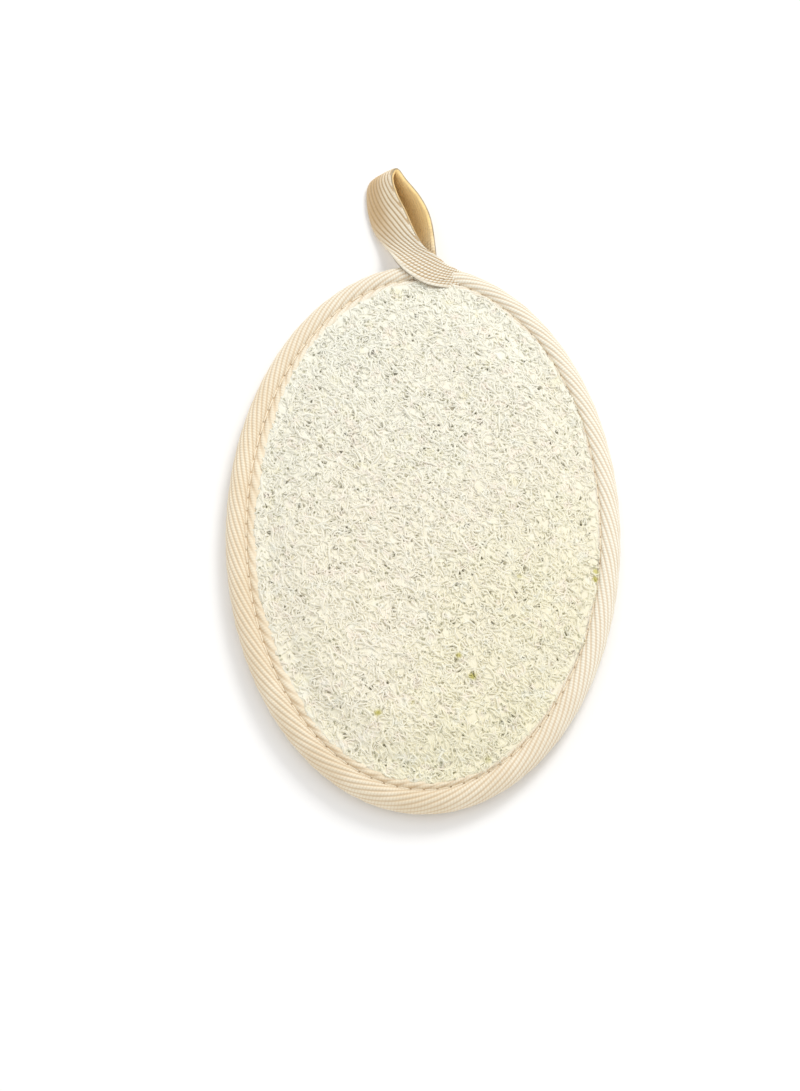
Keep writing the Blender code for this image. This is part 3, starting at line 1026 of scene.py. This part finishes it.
@dataclass
class HangingLoop:
    """The tape's tail, folded double and turned into a loop that leans over.

    Each knot gives a point of the lower and one of the upper edge, in millimetres, from the front
    of the rim, round the loop, to its end behind the rim.
    """

    twill: Twill
    thickness: float = 1.15 * MM
    stations: int = 400
    face_rows: int = 36
    edge_rows: int = 4
    knots: tuple[tuple[Place, Place], ...] = (
        ((8.5, 62.8, 5.4), (9.2, 67.3, 5.3)),
        ((3.2, 62.9, 6.5), (6.4, 68.1, 6.3)),
        ((0.0, 63.9, 6.8), (4.9, 69.0, 6.8)),
        ((-3.0, 66.1, 6.9), (3.7, 70.0, 7.2)),
        ((-5.4, 69.0, 6.4), (2.2, 71.1, 7.6)),
        ((-6.9, 72.6, 4.6), (0.2, 72.8, 8.0)),
        ((-8.8, 77.0, 2.1), (-2.0, 76.6, 8.4)),
        ((-11.3, 82.2, 0.9), (-4.2, 82.4, 8.4)),
        ((-12.7, 88.6, 0.9), (-6.4, 87.8, 8.4)),
        ((-12.6, 94.4, 0.9), (-7.3, 92.2, 8.4)),
        ((-10.4, 96.3, 0.9), (-6.1, 94.4, 8.4)),
        ((-6.9, 92.9, 0.9), (-4.0, 91.3, 8.4)),
        ((-3.4, 87.3, 0.9), (-0.9, 86.8, 8.4)),
        ((-1.5, 82.2, 0.9), (1.2, 82.2, 8.3)),
        ((-0.8, 77.5, 0.9), (2.3, 77.5, 7.4)),
        ((-1.5, 68.7, 1.6), (3.3, 68.7, 4.9)),
    )
    inner_offset: float = 0.1
    knot_step: float = 0.004

    @property
    def rows(self) -> int:
        """Faces once round the band's section."""
        return 2 * (self.face_rows + self.edge_rows)

    def edges(self, share: Points) -> tuple[Points, Points]:
        """Points on the band's lower and upper edges, for shares of the knots passed."""
        lower, upper = np.moveaxis(np.array(self.knots) * MM, 1, 0)
        return smooth_curve(lower, share), smooth_curve(upper, share)

    def run(self, samples: int) -> tuple[Points, Points]:
        """Even shares of the knots, and the distance along the band's middle at each."""
        share = np.linspace(0, 1, samples)
        lower, upper = self.edges(share)
        return share, distances((lower + upper) / 2)

    @property
    def width(self) -> float:
        """The folded tape's full width."""
        lower, upper = np.moveaxis(np.array(self.knots) * MM, 1, 0)
        return float(np.linalg.norm(lower - upper, axis=1).max())

    @property
    def length(self) -> float:
        """The folded tape's length, along its middle."""
        return float(self.run(200)[1][-1])

    def knot_share(self, along: Points) -> Points:
        """The share of the knots passed, for shares of the band's own length."""
        share, run = self.run(400)
        return np.interp(along * run[-1], run, share)

    def section(self, across: Points) -> tuple[Points, Points]:
        """Once round the band's section.

        Args:
            across: shares from 0 to 1 round the section.

        Returns:
            The share across the band, and the side: 1 on the loop's inner face, -1 on its outer
            one, and between them on the edges.
        """
        face, edge = self.face_rows, self.edge_rows
        corners = (0, face, face + edge, 2 * face + edge, self.rows)
        share = np.interp(across * self.rows, corners, (0, 1, 1, 0, 0))
        turn = np.interp(across * self.rows, corners, (0, 0, 1, 1, 2))
        return share, np.cos(turn * math.pi)

    def along_band(self, along: Points, across: Points) -> Points:
        """The distance along the band of each grid point."""
        return along * self.length + 0 * across

    def across_band(self, along: Points, across: Points) -> Points:
        """The distance across the band of each grid point."""
        return self.section(across)[0] * self.width + 0 * along

    def across_both(self, along: Points, across: Points) -> Points:
        """As across_band, with an offset on the loop's inner face."""
        inner = self.section(across)[1] > 0
        return self.across_band(along, across) + inner * self.inner_offset

    def shape(self, along: Points, across: Points) -> Points:
        """Where each grid point of the band lies."""
        share, side = self.section(across)
        knot = self.knot_share(along)
        low, high = self.edges(knot)
        ahead, behind = (sum(self.edges(knot + step)) for step in (self.knot_step, -self.knot_step))
        across_way = unit(high - low)
        facing = unit(np.cross(ahead - behind, across_way))
        raised = self.twill.raised(self.along_band(along, across), self.across_band(along, across))
        raised *= eased(np.minimum(share, 1 - share) * 7)
        thin = 0.55 + 0.45 * eased(along / 0.08)
        puff = 1 + 0.25 * np.sin(share * math.pi)
        depth = side * self.thickness / 2 * thin * puff
        depth += np.sign(side) * raised * np.abs(side) ** 0.5
        bulge = np.sqrt(np.clip(1 - side**2, 0, 1)) * self.thickness * 0.35
        sideways = np.where(share > 0.5, bulge, -bulge)
        base = low + (high - low) * share[:, None]
        return base + facing * depth[:, None] + across_way * sideways[:, None]

    def build(self, finish: Material) -> None:
        """Makes the loop."""
        weave = (self.along_band, self.across_both)
        mesh = wrapped_grid("hanging_loop_twill", self.stations, self.rows, self.shape, weave)
        add_piece("hanging_loop_twill", mesh, finish, "hanging_loop")


@dataclass
class Studio:
    """A white floor, even light with a soft lamp behind on the right, and the camera."""

    photo_width: int = 800
    photo_height: int = 1091
    oval_at: Pair = (423.0, 528.2)
    elevation: float = math.radians(63)
    distance: float = 0.70
    focal_pixels: float = 3066.0
    sensor: float = 36.0
    aim_height: float = 3.25 * MM
    floor_size: float = 3.0
    floor_gap: float = 0.05 * MM
    sky_strength: float = 0.92
    lamp_at: Place = (0.36, 0.62, 0.70)
    lamp_size: float = 0.34
    lamp_power: float = 4.1
    lamp_tint: Colour = (1.0, 0.985, 0.96)

    def camera(self) -> None:
        """Looks along +Y and down on the pad, with the oval where the photograph has it."""
        lens = bpy.data.cameras.new("camera")
        lens.sensor_width = self.sensor
        lens.lens = self.focal_pixels * self.sensor / self.photo_height
        lens.clip_start = 0.01
        back = Vector((0, -math.cos(self.elevation), math.sin(self.elevation)))
        up = Vector((0, math.sin(self.elevation), math.cos(self.elevation)))
        right = Vector((1, 0, 0))
        per_pixel = self.distance / self.focal_pixels
        aim = Vector((0, 0, self.aim_height))
        aim -= right * (self.oval_at[0] - self.photo_width / 2) * per_pixel
        aim -= up * (self.photo_height / 2 - self.oval_at[1]) * per_pixel
        view = in_scene("camera", lens)
        view.location = aim + back * self.distance
        view.rotation_euler = (math.pi / 2 - self.elevation, 0, 0)
        bpy.context.scene.camera = view

    def floor(self) -> None:
        """A wide white floor just under the pad."""
        bm = bmesh.new()
        bmesh.ops.create_grid(bm, x_segments=1, y_segments=1, size=self.floor_size)
        bmesh.ops.translate(bm, verts=bm.verts, vec=(0, 0, -self.floor_gap))
        mesh = bpy.data.meshes.new("floor")
        bm.to_mesh(mesh)
        bm.free()
        mesh.materials.append(FloorFinish().dress())
        floor = in_scene("floor", mesh)

    def lamp(self) -> None:
        """One square soft light that faces the pad."""
        light = bpy.data.lights.new("key", "AREA")
        light.size = self.lamp_size
        light.energy = self.lamp_power
        light.color = self.lamp_tint
        lamp = in_scene("key", light)
        lamp.location = self.lamp_at
        lamp.rotation_euler = (-Vector(self.lamp_at)).to_track_quat("-Z", "Y").to_euler()

    def sky(self) -> None:
        """Even white light from all round."""
        world = bpy.data.worlds.new("studio")
        world.use_nodes = True
        background = world.node_tree.nodes["Background"]
        background.inputs["Color"].default_value = (1.0, 1.0, 1.0, 1.0)
        background.inputs["Strength"].default_value = self.sky_strength
        bpy.context.scene.world = world
        bpy.context.scene.view_settings.view_transform = "Standard"

    def build(self) -> None:
        """Sets up the studio."""
        self.camera()
        self.floor()
        self.sky()
        self.lamp()


def main() -> None:
    """Builds the pad's pieces and the studio."""
    logging.basicConfig(level=logging.INFO, format="%(name)s %(message)s")
    oval = Oval()
    twill = Twill()
    Studio().build()
    LoofahPad(oval).build()
    tape = BindingTape(oval, twill)
    stitch_pitch = oval.perimeter / tape.stitches
    sewn = TwillFinish("sewn_twill", twill.rib_pitch, twill.slant, tape.seam_lines(), stitch_pitch)
    tape.build(sewn.dress())
    tail = Twill(rib_pitch=1.25 * MM, slant=math.radians(14), relief=0.30 * MM)
    # The loop's finish has darker and stronger painted shade in its grooves and yarn gaps.
    folded = TwillFinish(
        "loop_twill", tail.rib_pitch, tail.slant,
        groove_shade=(0.52, 0.35, 0.17), groove_shade_share=0.9, dot_shade_share=0.8,
    )
    HangingLoop(tail).build(folded.dress())
    Seam(oval).build(ThreadFinish("cotton_thread").dress())


if __name__ == "__main__":
    main()
